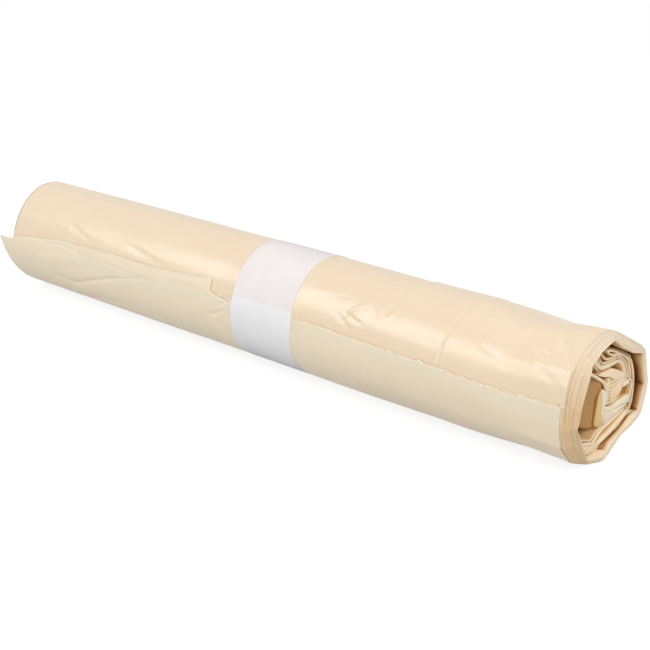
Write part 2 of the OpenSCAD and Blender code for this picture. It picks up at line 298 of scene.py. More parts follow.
def make_piece(name, points, faces, materials, picks=None, tidy=False, uv=None, depth=None, sharp=None):
    """Makes one piece from points in mm, which rides on the root body. Edges of one material, sharp[0],
    stay sharp where they bend by over sharp[1] degrees."""
    mesh = bpy.data.meshes.new(name)
    world = (np.asarray(points, float).reshape(-1, 3) + NEAR_RIM) / 1000
    mesh.from_pydata(world.tolist(), [], [list(map(int, f)) for f in faces])
    for material in materials:
        mesh.materials.append(material)
    if picks is not None:
        mesh.polygons.foreach_set("material_index", np.asarray(picks, np.int32))
    mesh.polygons.foreach_set("use_smooth", np.full(len(mesh.polygons), True))
    if uv is not None:
        layer = mesh.uv_layers.new(name="UVMap")
        loops = np.empty(len(mesh.loops), np.int32)
        mesh.loops.foreach_get("vertex_index", loops)
        layer.data.foreach_set("uv", np.asarray(uv, float).reshape(-1, 2)[loops].ravel())
    if depth is not None:
        values = mesh.attributes.new("depth", "FLOAT", "POINT").data
        values.foreach_set("value", np.asarray(depth, np.float32))
    mesh.update()
    if tidy:
        bm = bmesh.new()
        bm.from_mesh(mesh)
        bmesh.ops.recalc_face_normals(bm, faces=bm.faces)
        for edge in bm.edges if sharp else ():
            pair = edge.link_faces
            if len(pair) == 2 and pair[0].material_index == pair[1].material_index == sharp[0]:
                edge.smooth = edge.calc_face_angle() < math.radians(sharp[1])
        bm.to_mesh(mesh)
        bm.free()
    piece = bpy.data.objects.new(name, mesh)
    bpy.context.collection.objects.link(piece)
    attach(piece, "root")
    return piece


class Nodes:
    """The node tree of a material or a world, with short forms for the nodes used here."""

    def __init__(self, owner):
        owner.use_nodes = True
        self.tree = owner.node_tree

    def fill(self, node, **inputs):
        """Gives a node's sockets values or links; _6 stands for socket 6 and Base_Color for Base Color."""
        for key, value in inputs.items():
            socket = node.inputs[int(key[1:]) if key[1:].isdigit() else key.replace("_", " ")]
            if isinstance(value, bpy.types.NodeSocket):
                self.tree.links.new(value, socket)
            elif socket.type == "RGBA":
                socket.default_value = (*value, 1)
            else:
                socket.default_value = value
        return node

    def node(self, kind, settings=(), **inputs):
        node = self.tree.nodes.new(kind)
        for key, value in dict(settings).items():
            setattr(node, key, value)
        return self.fill(node, **inputs)

    def sums(self, a, b, operation="ADD"):
        return self.node("ShaderNodeMath", {"operation": operation}, _0=a, _1=b).outputs[0]

    def span(self, value, low, high, start=0.3, end=0.7):
        """A smooth step from low to high as the value goes from start to end."""
        node = self.node("ShaderNodeMapRange", {"interpolation_type": "SMOOTHSTEP"}, Value=value,
                         From_Min=start, From_Max=end, To_Min=low, To_Max=high)
        return node.outputs["Result"]

    def blend(self, factor, a, b):
        return self.node("ShaderNodeMix", {"data_type": "RGBA"}, _0=factor, _6=a, _7=b).outputs[2]

    def backdrop_rays(self):
        """1 for camera rays, and 1 for all that show the backdrop: glossy and transmission rays too."""
        ray = self.node("ShaderNodeLightPath").outputs
        most = ray["Is Camera Ray"]
        for kind in ("Is Glossy Ray", "Is Transmission Ray"):
            most = self.sums(most, ray[kind], "MAXIMUM")
        return ray["Is Camera Ray"], most


class Shader(Nodes):
    """A material drawn on the part's own coordinates, in metres."""

    def __init__(self, name, colour, roughness, specular):
        self.material = bpy.data.materials.new(name)
        super().__init__(self.material)
        self.where = self.node("ShaderNodeTexCoord").outputs["Object"]
        self.give(Base_Color=colour, Roughness=roughness, Specular_IOR_Level=specular)

    def give(self, **inputs):
        self.fill(self.tree.nodes["Principled BSDF"], **inputs)

    def glow(self, weight):
        """Light that spreads inside, further in red than in blue."""
        self.give(Subsurface_Weight=weight, Subsurface_Radius=(0.0025, 0.0016, 0.0008), Subsurface_Scale=1.0)

    def noise(self, stretch, scale, detail=2.0, rough=0.5, where=None):
        vector = self.node("ShaderNodeMapping", Vector=where or self.where, Scale=stretch).outputs["Vector"]
        node = self.node("ShaderNodeTexNoise", Vector=vector, Scale=scale, Detail=detail, Roughness=rough)
        return node.outputs["Fac"]

    def depth(self):
        return self.node("ShaderNodeAttribute", {"attribute_name": "depth"}).outputs["Fac"]

    def ramp(self, value, stops):
        node = self.node("ShaderNodeValToRGB", Fac=value)
        ramp = node.color_ramp
        while len(ramp.elements) < len(stops):
            ramp.elements.new(0.5)
        for element, (place, colour) in zip(ramp.elements, stops):
            element.position = place
            element.color = (*linear(colour), 1)
        return node.outputs["Color"]

    def bump(self, height, strength, distance, **under):
        node = self.node("ShaderNodeBump", Height=height, Strength=strength, Distance=distance, **under)
        return node.outputs["Normal"]


def linear(colour):
    """A colour as read off a picture, 0 to 255, in the renderer's linear values."""
    return tuple(((c / 255 + 0.055) / 1.055) ** 2.4 if c > 10 else c / 3295 for c in colour)


EVEN = (1, 1, 1)
# Film in four tints is rougher by these: where it hangs slack, and towards the top, between two places
# across the roll in metres
SLACK_DULLER = 0.2
TOP_DULLER = 0.09
DULL_FROM = (-0.012, -0.003)


def film(name, tints, roughness, wrinkle, glow=0.12):
    """Thin milky film in two tints. Of four, the last two are for where depth is 1 and it hangs slack."""
    tints = [linear(tint) for tint in tints]
    s = Shader(name, tints[0], roughness[0], 0.6)
    clouds = s.span(s.noise(EVEN, 60, 3), 0.0, 0.35, 0.15, 0.85)
    colour = s.blend(clouds, *tints[:2])
    rough = s.span(s.noise((0.4, 1, 1), 45), *roughness, 0.2, 0.8)
    if len(tints) == 4:
        colour = s.blend(s.depth(), colour, s.blend(clouds, *tints[2:]))
        rough = s.sums(rough, s.sums(s.depth(), SLACK_DULLER, "MULTIPLY"))
        # Duller towards the top, which keeps the denoiser from fraying the outline there
        across = s.node("ShaderNodeSeparateXYZ", Vector=s.where).outputs["Y"]
        rough = s.sums(rough, s.span(across, 0.0, TOP_DULLER, *DULL_FROM))
    drawn = s.bump(s.noise((0.05, 1, 1), 1500), 0.12 * wrinkle, 0.0004)
    creped = s.bump(s.noise((0.35, 1, 1), 170, 3, 0.6), 0.3 * wrinkle, 0.0012, Normal=drawn)
    s.give(Base_Color=colour, Roughness=rough, Normal=creped)
    s.glow(glow)
    return s.material


WOUND = ((246, 224, 194), (240, 216, 180))
# Slack film: a paler tint, partly its own and partly painted light that lifts the lower side and the loose
# ply near the far end
LOOSE_AND_LIT = ((250, 234, 206), (244, 226, 195))
film_outer = film("film_outer", WOUND + LOOSE_AND_LIT, (0.2, 0.25), 0.4)
film_loose_and_lit = film("film_loose_and_lit", LOOSE_AND_LIT, (0.38, 0.46), 0.5)
film_edge = film("film_edge", ((249, 226, 188), (245, 219, 177)), (0.36, 0.44), 0.5)
# Torn scraps: lighter than the film, as painted glints
film_torn_glint = film("film_torn_glint", ((255, 246, 232), (250, 236, 214)), (0.28, 0.34), 0.8)
# Warm tan film: painted shade on the sides of the folds that go back into the roll and on the bed between
# the pleats
film_inner = film("film_inner", ((242, 206, 152), (230, 188, 130)), (0.4, 0.5), 0.4, 0.3)
film_pale = film("film_pale", ((250, 232, 205), (244, 218, 184)), (0.29, 0.38), 0.9)
film_white = film("film_white", ((247, 234, 208), (240, 222, 190)), (0.29, 0.4), 0.9)
film_strip = film("film_strip", ((234, 198, 136), (224, 184, 118)), (0.35, 0.5), 0.5)
# Tan-brown film: painted shade on the panel deep in the recess and on the sides of the folds beside it
film_panel = film("film_panel", ((190, 142, 80), (180, 130, 68)), (0.4, 0.5), 0.4, 0.2)
film_lip = film("film_lip", ((251, 227, 195), (246, 217, 181)), (0.36, 0.46), 0.5)
# Dark brown film: painted shade in the hollows of the recess and in the narrow gap along the lip
film_cave = film("film_cave", ((172, 116, 56), (140, 88, 36)), (0.4, 0.5), 0.4, 0.2)


def gap_wall_material():
    """Inside of the gap: cream at its mouth, then painted shade, brown to dark brown as the depth attribute
    rises.
    """
    s = Shader("gap_wall", linear((236, 208, 170)), 0.5, 0.3)
    clouds = s.span(s.noise((0.3, 1, 1), 140, 3), -0.06, 0.06)
    stops = ((0.0, (242, 217, 180)), (0.22, (226, 191, 142)), (0.5, (184, 137, 84)), (0.75, (128, 78, 34)),
             (1.0, (94, 52, 20)))
    s.give(Base_Color=s.ramp(s.sums(s.depth(), clouds), stops),
           Normal=s.bump(s.noise((0.1, 1, 1), 500, 3), 0.2, 0.0004))
    return s.material


def layered(name, colour, deep, lines, detail):
    """Cut ends of many plies: fine lines that run along each layer, by the piece's own UV, and painted shade
    towards the deep tint as the depth attribute rises.
    """
    colour, deep = linear(colour), linear(deep)
    s = Shader(name, colour, 0.5, 0.35)
    uv = s.node("ShaderNodeTexCoord").outputs["UV"]
    plies = s.noise((0.45, lines, 1), 1.0, detail, 0.55, uv)
    blotch = s.span(s.noise(EVEN, 70, 1), 0.0, 0.1)
    shade = s.sums(s.span(plies, -0.1, 0.25), s.sums(blotch, s.sums(s.depth(), 0.8, "MULTIPLY")))
    s.give(Base_Color=s.blend(shade, colour, deep), Normal=s.bump(plies, 0.2, 0.0003))
    s.glow(0.15)
    return s.material


gap_wall = gap_wall_material()
# The cut layers' deep tint also carries the painted shade set by their depth attribute
cut_plies = layered("cut_plies", (255, 237, 211), (221, 188, 143), 9, 1.0)
fold_side = layered("fold_side", (254, 230, 192), (244, 214, 168), 4, 1.5)
fold_plies = layered("fold_plies", (254, 234, 203), (240, 208, 164), 5, 1.5)


def paper_material():
    """White paper: warmer where one layer lies on the film, greyer from the lapped end down to the foot,
    which is the lap's own tint and, below the lap, painted shade.
    """
    s = Shader("paper", linear((245, 242, 242)), 0.85, 0.25)
    mottle = s.span(s.noise(EVEN, 90, 3), 0.0, 1.0)
    single = s.blend(mottle, linear((249, 242, 241)), linear((244, 237, 236)))
    # The greyer tint: the lap's own, and painted shade on the lower side below it
    lapped = s.blend(mottle, linear((251, 250, 251)), linear((247, 246, 247)))
    fibre = s.bump(s.noise((1, 2.5, 2.5), 1100, 4, 0.65), 0.25, 0.0002)
    s.give(Base_Color=s.blend(s.depth(), single, lapped),
           Normal=s.bump(s.noise(EVEN, 55), 0.12, 0.002, Normal=fibre))
    return s.material


paper = paper_material()

# Stations along the roll, closer together at its two ends and beside the band
stations = places(
    -ROLL_LEN, (-ROLL_LEN + 12, 14), (BAND_FAR - 26, 100), (BAND_FAR - 8, 32), (BAND_FAR + 1, 14),
    (BAND_NEAR - 1, 6), (BAND_NEAR + 8, 12), (-54, 96), (-47, 26), (-12, 40), (-1.2, 16), (-0.08, 4), (0, 2))
core_stations = np.concatenate([stations[:12], stations[12:-12:3], stations[-12:]])

# The body of the roll as rings of points: the plain far end, the side, the layered end and the gap in it.
# Each ring also says what it is made of, as the place of its material in the piece's list.
COLUMNS = 360
SKIN, WALL, CUT = 0, 1, 2
CORE_INSET = 1.25
turns = np.arange(COLUMNS) / COLUMNS
crest_x = END_STAGGER * crest_rise(end_angle(turns))
# Only beside the loose near edge does the outer bag stand off the layers
stands_off = np.maximum(fades(turns, LOOSE_TO, 0.08), fades(1 - turns, 0, 0.01))
rim_inset = FILM_T * 0.9 + BAG_STEP * END_STEP * turns + 0.06 * stands_off
# Over how many mm from the near and the far rim the side sinks to CORE_INSET under the outer bag
NEAR_FADE, FAR_FADE = 8, 4
# Rings of the far end's middle: share of its radius, mm beyond the rim
FAR_MIDDLE = [
    (0.02, -3.0), (0.06, -3.0), (0.07, -0.6), (0.12, -0.4), (0.13, -3.5), (0.17, -3.6), (0.18, -0.2),
    (0.23, 0.0), (0.24, -3.2), (0.27, -3.4), (0.28, -0.4), (0.35, -0.2), (0.36, -2.4), (0.38, -2.5),
    (0.39, -0.6), (0.44, -0.6), (0.455, -4), (0.46, -FAR_DEPTH), (0.6, -FAR_DEPTH), (0.61, -5.0)]
FAR_LAYERS = 8
FAR_LAYERS_FROM = 0.62
FAR_R = R - 1.6
# How far its turns are out of round: share, lobes, where they start in radians
FAR_SQUASH = [(0.06, 2, 0.35), (0.04, 5, 0)]
# Rings over one layer: share of its thickness, mm that it dips
FAR_LAYER = [(0.05, 0.3), (0.3, 0.02), (0.7, 0.0), (0.95, 0.25)]
NEAR_LAYERS = 8
NEAR_LAYER = [(0.04, 0.3), (0.2, 0.06), (0.5, 0.0), (0.8, 0.05), (0.96, 0.28)]
# The near layers wander so many mm in and out, drift so far across, and dip in full where they are so thick
LAYER_WANDER, LAYER_DRIFT, LAYER_FULL = 0.12, 0.3, 0.9
GAP_DEPTHS = (0.6, 1.5, 3, 5, 8, 12, 16, 20)


def ring(x, y, z, off_floor):
    """A ring of the body, kept off_floor mm above the floor."""
    return np.stack(np.broadcast_arrays(x, y, np.maximum(z, FLOOR_Z + off_floor)), -1)


def far_ring(share, past, wobble, seed):
    a = np.radians(EDGE_ANGLE + 360 * turns)
    squash = sum(share_out * np.sin(lobes * a + start) for share_out, lobes, start in FAR_SQUASH)
    d = FAR_R * share * (1 - squash * (1 - share))
    x = -ROLL_LEN - past + wobble * noise(7.0 * seed, turns, 20, 16, 31 + seed)
    return ring(x, d * np.cos(a), d * np.sin(a), 1)


def far_end_rings():
    for k, (share, past) in enumerate(FAR_MIDDLE):
        yield WALL if past < -2 else CUT, far_ring(share, past, 0.35 if past > -5 else 0.0, k // 2)
    for k in range(FAR_LAYERS):
        top = FAR_STAGGER * (1 - k / FAR_LAYERS)
        for f, dip in FAR_LAYER:
            share = FAR_LAYERS_FROM + (k + f) / FAR_LAYERS * (1 - FAR_LAYERS_FROM)
            yield CUT, far_ring(share, top - dip, 0.22, 20 + k)


def side_rings():
    for x in core_stations:
        from_rim = eased(-x / NEAR_FADE) * eased((x + ROLL_LEN) / FAR_FADE)
        inset = rim_inset * (1 - from_rim) + CORE_INSET * from_rim
        yield SKIN, skin(x, turns, EDGE_ANGLE + EDGE_TURN * eased(1 + x / END_EASE), inset, 0.0)


def layered_rings():
    """The layers, from the rim in to the crest of the gap."""
    oy, oz = end_outline(rim_share, turns, rim_inset)
    iy, iz = end_outline(crest_share, turns)
    width = np.hypot(oy - iy, oz - iz) / NEAR_LAYERS
    for k in range(NEAR_LAYERS):
        wander = LAYER_WANDER * noise(21.0 * k, turns, 20, 5, 51)
        drift = LAYER_DRIFT / NEAR_LAYERS * noise(21.0 * k, turns, 20, 5, 52)
        for f, dip in NEAR_LAYER:
            share = (k + f) / NEAR_LAYERS
            s = np.clip(share + drift * math.sin(math.pi * share), 0, 1)
            x = crest_x * share + np.clip(width / LAYER_FULL, 0.15, 1) * (wander - dip)
            yield CUT, ring(x, oy * (1 - s) + iy * s, oz * (1 - s) + iz * s, 0.2)


def gap_rings():
    """The gap's wall, which follows the side of the roll down from the crest."""
    oy, oz = end_outline(rim_share, turns)
    iy, iz = end_outline(crest_share, turns)
    for depth in GAP_DEPTHS:
        x = crest_x - depth
        deeper = skin(np.minimum(x, 0), turns, EDGE_ANGLE + EDGE_TURN)
        yield WALL, ring(x, deeper[:, 1] + iy - oy, deeper[:, 2] + iz - oz, 0.4)


# How brown the gap's wall is by angle, all painted shade: less where light falls in, and more in the creases
# along its pressed corners
WALL_TONE = [
    (0, 1.6), (38, 1.6), (52, 0.55), (60, 0.3), (110, 0.3), (140, 1), (215, 1), (245, 0.6), (262, 1.2),
    (360, 1.6)]
WALL_CORNERS = (51.3, 21.2, 350.1)
CORNER_WIDTH, CORNER_TONE = 1.6, 0.3
# Painted shade: the wall turns brown over the first so many mm in, and darkens further over the second
BROWN_BY, DARK_BY, DARKEST = 6.5, 24, 0.4
# Tones of the cut layers round the near end, painted shade that keeps their top light and darkens their
# left side, of those at the far end, and of the skin at the near rim, painted tan shade under the loose edge
STACK_TONE = [(0, 0.1), (60, 0.0), (115, 0.0), (135, 0.4), (165, 0.85), (200, 0.85), (235, 0.35), (258, 0.1),
              (275, 0.05), (360, 0.1)]
FAR_TONE = 0.3
RIM_TONE = 0.14


def body_depth(x, kinds):
    """The depth attribute on the body's rings: how brown the wall is, which is painted shade, and the tone
    of the cut layers, painted shade round the near end.
    """
    around = np.mod(end_angle(turns), 360)
    corners = sum(np.exp(-((around - c) / CORNER_WIDTH) ** 2) for c in WALL_CORNERS)
    behind = crest_x - x
    wall = np.clip(behind / BROWN_BY, 0, 1) * curve(WALL_TONE)(around)
    wall = wall + np.clip(behind / DARK_BY, 0, DARKEST) + CORNER_TONE * corners
    far = x < -ROLL_LEN / 2
    return np.select(
        [(kinds == CUT) & ~far, (kinds == CUT) & far, (kinds == SKIN) & (x > -2), far],
        [curve(STACK_TONE)(around), FAR_TONE, RIM_TONE, np.clip((x + ROLL_LEN) / 10, 0, 1)],
        np.clip(wall, 0, 1))


def roll_body():
    parts = [*far_end_rings(), *side_rings(), *layered_rings(), *gap_rings()]
    plate = parts[-1][1]
    middle = np.array([plate[:, 0].mean(), *(R * RIM_MID)])
    parts += [(WALL, plate * s + middle * (1 - s)) for s in (0.6, 0.25)]
    kinds = np.array([kind for kind, _ in parts])
    grid = np.array([points for _, points in parts])
    picks = np.maximum(kinds[:-1], kinds[1:]).repeat(COLUMNS).reshape(-1, COLUMNS)
    # The shade under the outer bag, where its near edge is loose
    rim = np.flatnonzero(kinds == SKIN)[-1]
    picks[rim - 3:rim, turns < LOOSE_TO + 0.04] = WALL
    rows = len(grid)
    total = rows * COLUMNS
    last = total - COLUMNS
    caps = [[total, (j + 1) % COLUMNS, j] for j in range(COLUMNS)]
    caps += [[total + 1, last + j, last + (j + 1) % COLUMNS] for j in range(COLUMNS)]
    uv = np.meshgrid(turns * 12, np.arange(rows) / (NEAR_LAYERS * len(NEAR_LAYER)))
    piece = make_piece(
        "roll_body", np.concatenate([grid.reshape(-1, 3), [grid[0].mean(0), middle]]),
        grid_faces(rows, COLUMNS, True).tolist() + caps, [film_outer, gap_wall, cut_plies],
        np.append(picks, np.full(2 * COLUMNS, WALL)), tidy=True,
        uv=np.concatenate([np.stack(uv, -1).reshape(-1, 2), [[0, 0], [0, 0]]]),
        depth=np.append(body_depth(grid[..., 0], kinds[:, None]), [1, 1]), sharp=(WALL, 9))
    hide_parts("bag_roll")


def make_sheet(name, top, thick, material, open_end=True, depth=None):
    """A thin sheet from a grid of points, with its edges turned under, the last row's too unless it's open.
    The underside keeps only its border, two points deep, because the rest lies on the roll."""
    rows, cols = top.shape[:2]
    normal = np.cross(np.gradient(top, axis=0), np.gradient(top, axis=1))
    normal /= np.maximum(np.linalg.norm(normal, axis=-1, keepdims=True), 1e-9)
    points = np.concatenate([top.reshape(-1, 3), (top - normal * thick).reshape(-1, 3)])
    faces = grid_faces(rows, cols, flip=True).tolist()
    border = [((0, j), (0, j + 1), (1, j + 1), (1, j)) for j in range(cols - 1)]
    if not open_end:
        i = rows - 1
        border += [((i, j + 1), (i, j), (i - 1, j), (i - 1, j + 1)) for j in range(cols - 1)]
    border += [((i + 1, 0), (i, 0), (i, 1), (i + 1, 1)) for i in range(rows - 1)]
    border += [((i, cols - 1), (i + 1, cols - 1), (i + 1, cols - 2), (i, cols - 2)) for i in range(rows - 1)]
    n = rows * cols
    for corners in border:
        a, b, c, d = (i * cols + j for i, j in corners)
        faces += [[a, b, n + b, n + a], [n + a, n + b, n + c, n + d]]
    used = np.zeros(2 * n, bool)
    used[np.unique(np.concatenate([np.ravel(f) for f in faces]))] = True
    new = np.cumsum(used) - 1
    if depth is not None:
        depth = np.tile(depth.ravel(), 2)[used]
    return make_piece(name, points[used], [new[f] for f in faces], [material], depth=depth)


# The loose corner of the outermost bag reaches so far round, in turns, and along, in mm
CORNER_TURNS, CORNER_LEN = 0.17, 45
# Its near edge stops short of the rim by these mm: where it is loose, at its corner and at its inner end
LOOSE_SHORT, CORNER_SHORT, TAIL_SHORT = 0.3, 0.9, 2.5
# How far the free edge and the loose near edge stand off, and how far their rims turn down, in mm
EDGE_LIFT, NEAR_LIFT, EDGE_DOWN, NEAR_DOWN = 0.05, 0.04, 0.4, 0.12


def corner_lift(x, turn, lift):
    """How far the loose corner at the far end lifts, in mm."""
    return lift * fades(turn, 0, CORNER_TURNS) * eased((-ROLL_LEN + CORNER_LEN - x) / CORNER_LEN)


def outer_bag():
    """The outermost bag: a sheet wound once round, its free edge, near edge and one corner loose."""
    around = places(0, (0.0007, 2), (0.005, 2), (0.02, 4), (0.24, 62), (0.7, 46), (1.035, 96))
    t, x = np.meshgrid(around, stations, indexing="ij")
    along = (x + ROLL_LEN) / ROLL_LEN
    near_stop = -LOOSE_SHORT * fades(t, LOOSE_TO, 0.1) - CORNER_SHORT * fades(t, 0.05, 0.1)
    near_stop = near_stop - TAIL_SHORT * eased((t - 0.992) / 0.006)
    far_stop = -ROLL_LEN - CORNER_REACH * corner_shape(t)
    x = far_stop + (near_stop - far_stop) * along
    lift_far = corner_lift(x, t, CORNER_LIFT)
    lift_near = NEAR_LIFT * eased(1 + x / 6) * fades(t, 0.2, 0.12)
    lift_edge = EDGE_LIFT * np.exp(-t / 0.012) * (0.6 + 0.8 * noise(x, 0.0, 7, 3, 61)) * (1 - squeeze(x))
    # The free edge and the near edge turn down on to the film below, so that no dark gap shows
    turned_down = np.where(t == 0, EDGE_DOWN * (1 - squeeze(x)) * (1 - lift_far / CORNER_LIFT), 0)
    turned_down[:, -1] = np.maximum(turned_down[:, -1], NEAR_DOWN)
    lift = lift_far + lift_near + lift_edge - turned_down
    sheet = skin(x, t + 0.0012 * np.exp(-t / 0.01), top_edge(x), -lift)
    make_sheet("outer_bag", sheet, FILM_T, film_outer, depth=fades(t, LOOSE_TO, 0.3))


# The lower ply shows up to here, in mm from the near rim, and this far round, in turns
PLY_STOP = -7.43 * R
PLY_TURNS = 0.085


def under_ply():
    """The outermost bag's lower ply, which reaches further up the roll between the band and the far end."""
    along = places(-ROLL_LEN - 1, (-ROLL_LEN, 3), (PLY_STOP - 0.1, 150), (PLY_STOP, 2))
    t, x = np.meshgrid(np.linspace(0, PLY_TURNS, 14), along, indexing="ij")
    x = np.where(x < -ROLL_LEN, -ROLL_LEN - (-ROLL_LEN - x) * CORNER_REACH * 0.96 * corner_shape(t), x)
    edge = under_edge(x) + (0.35 * noise(x, 0.0, 2.2, 3, 71) + 0.5 * noise(x, 0.0, 11, 3, 72))
    tucked = eased((edge + 360 * t - top_edge(x) + 1.5) / 2)
    end_curl = 0.1 * eased((x - PLY_STOP + 3) / 3) * (1 - tucked)
    end_curl[:, -1] = -0.3
    lift_edge = EDGE_LIFT * np.exp(-t / 0.01) * (1 + noise(x, 0.0, 5, 3, 73)) * (1 - tucked)
    inset = 0.02 + 0.2 * tucked - corner_lift(x, t, CORNER_LIFT - 0.1) - lift_edge - end_curl
    make_sheet("under_ply", skin(x, t, edge, inset), FILM_T * 0.8, film_loose_and_lit)


# The perforation: mm from slit to slit, what share of that tears in one slant, and how wide its torn edge is
PERFORATION = 6.2
SLANT_SHARE = 0.75
TORN_W = 0.35


def torn_strip(name, x_from, x_to, edge_of, seed, tooth):
    """A torn perforation: a sawtooth edge that drops at each slit of the perforation."""
    rng = np.random.default_rng(seed)
    x = np.arange(x_from, x_to, 0.3)
    cell = np.floor((x - x_from) / PERFORATION).astype(int)
    share = (x - x_from) / PERFORATION - cell
    size = rng.uniform(0.5, 1.0, cell.max() + 2)
    back = (share - SLANT_SHARE) / (1 - SLANT_SHARE)
    teeth = tooth * np.where(share < SLANT_SHARE, 1 - share / SLANT_SHARE, back) * size[cell]
    rows = []
    for row, up in ((0.0, -0.15), (0.2, 0.06), (0.5, 0.06), (1.0, 0.01)):
        arc = row * TORN_W - teeth * (1 - row) ** 2
        rows.append(skin(x, np.degrees(arc / R) / 360, edge_of(x), -up))
    make_sheet(name, np.array(rows), 0.05, film_edge)


# Curled scraps of the perforation that catch the light, their light tint a painted glint: radii from the
# rim, degrees, length and width in mm, slant
GLINTS = [
    (-3.36, 170.3, 3.4, 0.5, 0.1), (-3.2, 170.8, 2.4, 0.45, 0.2), (-2.95, 171.8, 2.6, 0.6, 0.35),
    (-2.55, 171.6, 2.6, 0.6, 0.3), (-2.42, 171.2, 1.2, 0.4, 0.0), (-2.13, 172.2, 2.8, 0.55, 0.25),
    (-1.72, 173.6, 2.0, 0.45, 0.2), (-1.6, 174.4, 1.6, 0.5, 0.3), (-1.38, 175.0, 1.8, 0.45, 0.2),
    (-1.28, 175.4, 2.2, 0.6, 0.45), (-1.1, 175.4, 1.4, 0.4, 0.2), (-0.72, 175.6, 1.6, 0.4, 0.1),
    (-3.75, 171.6, 1.0, 0.4, 0.2), (-7.12, 168.2, 2.2, 0.4, 0.35), (-7.02, 173.0, 4.6, 0.5, 0.3),
    (-7.16, 172.6, 3.2, 0.4, 0.3), (-6.86, 170.6, 1.2, 0.4, 0.3), (-8.12, 158.6, 1.8, 0.4, 0.1),
    (-7.9, 158.2, 1.0, 0.35, 0.0), (-9.35, 172.6, 1.2, 0.4, 0.2), (-10.1, 170.4, 1.0, 0.35, 0.1)]


def torn_scraps():
    u = np.linspace(-0.5, 0.5, 7)
    points, faces = [], []
    for k, (place, angle, length, width, slant) in enumerate(GLINTS):
        for v in (-0.5, 0.0, 0.5):
            arc = (v * width * (1 - (2 * u) ** 4 * 0.6) - u * length * slant) / R
            up = 0.22 + 0.1 * (1 - (2 * v) ** 2) - 0.06 * v
            points.append(skin(place * R + u * length, -arc / (2 * math.pi), np.full(7, angle), -up, 0.0))
        faces += grid_faces(3, 7, start=21 * k).tolist()
    make_piece("torn_scraps", np.concatenate(points), faces, [film_torn_glint])


# The paper as it shows: how many degrees above the free edge its outer end lies, how thick, how much askew
# in mm, how wavy its two edges are, and where its greyer tint, the lap's own and painted shade below it,
# ends, in turns
PAPER_START = 4.7
PAPER_SHOWN = 0.11
PAPER_ASKEW = 0.6
PAPER_WAVER = 0.12
LAPPED_AND_SHADED_TO = 0.3


def paper_band():
    """One strip of paper wound once round and lapped, its outer end cut a little askew."""
    start = EDGE_ANGLE - PAPER_START
    lap = OVERLAP_ANGLE / 360
    t, share = np.meshgrid(places(0, (0.0005, 2), (0.004, 2), (1, 200), (1 + lap, 24)),
                           places(0, (0.003, 2), (0.997, 32), (1, 2)), indexing="ij")
    askew = PAPER_ASKEW * np.clip(1 - t, 0, 1)
    x = BAND_FAR + PAPER_WAVER * noise(t * 60, 0.0, 9, 3, 81) + (BAND_W + askew) * share
    step = eased((lap + 0.03 - t) / 0.03) * eased((1 - t) / 0.004) * 0.4
    height = SQUEEZED + BAND_GAP + PAPER_SHOWN + PAPER_SHOWN * step + lobed(start + 360 * t)
    height = height + 0.03 * noise(x, t, 12, 14, 82) - 0.06 * np.abs(share * 2 - 1) ** 8
    under = np.clip((t - 1) / 0.002, 0, 1)
    height = height - 0.02 * under
    a = np.radians(start + 360 * t)
    low = FLOOR_Z + 0.02 + 0.1 * under
    sheet = np.stack([x, height * np.cos(a), np.maximum(height * np.sin(a), low)], -1)
    piece = make_sheet("band", sheet, 0.08, paper, False, fades(t, LAPPED_AND_SHADED_TO, 0.15))
    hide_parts("paper_band")


roll_body()
outer_bag()
under_ply()
torn_strip("torn_edge_near", BAND_NEAR + 2.5, -1.5, top_edge, 5, 0.75)
torn_strip("torn_edge_far", -11.2 * R, BAND_FAR - 2.5, top_edge, 6, 0.4)
torn_strip("torn_edge_ply", -12.6 * R, -7.5 * R, under_edge, 7, 0.35)
torn_scraps()
paper_band()

# The folded film inside the near end. Paths give y, z and depth in thousandths of a radius, as the end
# shows them: from the front left a deeper edge shows further left and higher, by SLANT times its depth.
SLANT = (1.438, -0.641)
# At a path's corners this share of each leg is cut off, less along a slope, which bulges by so many radii
CUT_OFF, SLOPE_CUT = 0.22, 0.15
SLOPE_BULGE = 0.03


def placed(path):
    y, z, depth = path.T
    return np.stack([depth * R, (y - SLANT[0] * depth) * R, (z - SLANT[1] * depth) * R], -1)


def softened(path, rounds=1, cut=CUT_OFF):
    """A path in radii, with its corners cut off in each round."""
    path = np.array(path, float) / 1000
    for _ in range(rounds):
        a, b = path[:-1], path[1:]
        mids = np.stack([a * (1 - cut) + b * cut, a * cut + b * (1 - cut)], 1).reshape(-1, 3)
        path = np.concatenate([path[:1], mids[1:-1], path[-1:]])
    return path


def strip_faces(rows, cols):
    """Faces of a strip's grid and the two that close its ends."""
    caps = [[k * cols for k in range(rows)], [k * cols + cols - 1 for k in range(rows - 1, -1, -1)]]
    return grid_faces(rows, cols).tolist() + caps


def ribbon(path, thick, back):
    """A pressed bundle of plies on edge: its path, its thickness and how many mm it goes back."""
    points = placed(softened(path))
    yz = points[:, 1:]
    way = np.gradient(yz, axis=0)
    way /= np.maximum(np.linalg.norm(way, axis=1, keepdims=True), 1e-9)
    across = np.stack([-way[:, 1], way[:, 0]], -1)
    half = thick / 1000 * R / 2
    bevel = min(0.35, half * 0.6)
    section = ((-1, back), (-1, bevel * 1.6), (-0.8, bevel * 0.5), (-0.35, 0), (0.35, 0), (0.8, bevel * 0.5),
               (1, bevel * 1.6), (1, back))
    grid = np.array([np.column_stack([points[:, 0] - drop, yz + across * half * offset])
                     for offset, drop in section])
    length = np.concatenate([[0], np.cumsum(np.linalg.norm(np.diff(yz, axis=0), axis=1))]) / R
    v = np.array([0, 0.1, 0.2, 0.4, 0.6, 0.8, 0.9, 1.0]) * (thick / 1000) * 10
    uv = np.stack(np.meshgrid(v, length, indexing="ij")[::-1], -1)
    picks = np.repeat([1, 0, 0, 0, 0, 0, 1], len(yz) - 1).tolist() + [1, 1]
    return grid.reshape(-1, 3), strip_faces(len(v), len(yz)), picks, uv.reshape(-1, 2)


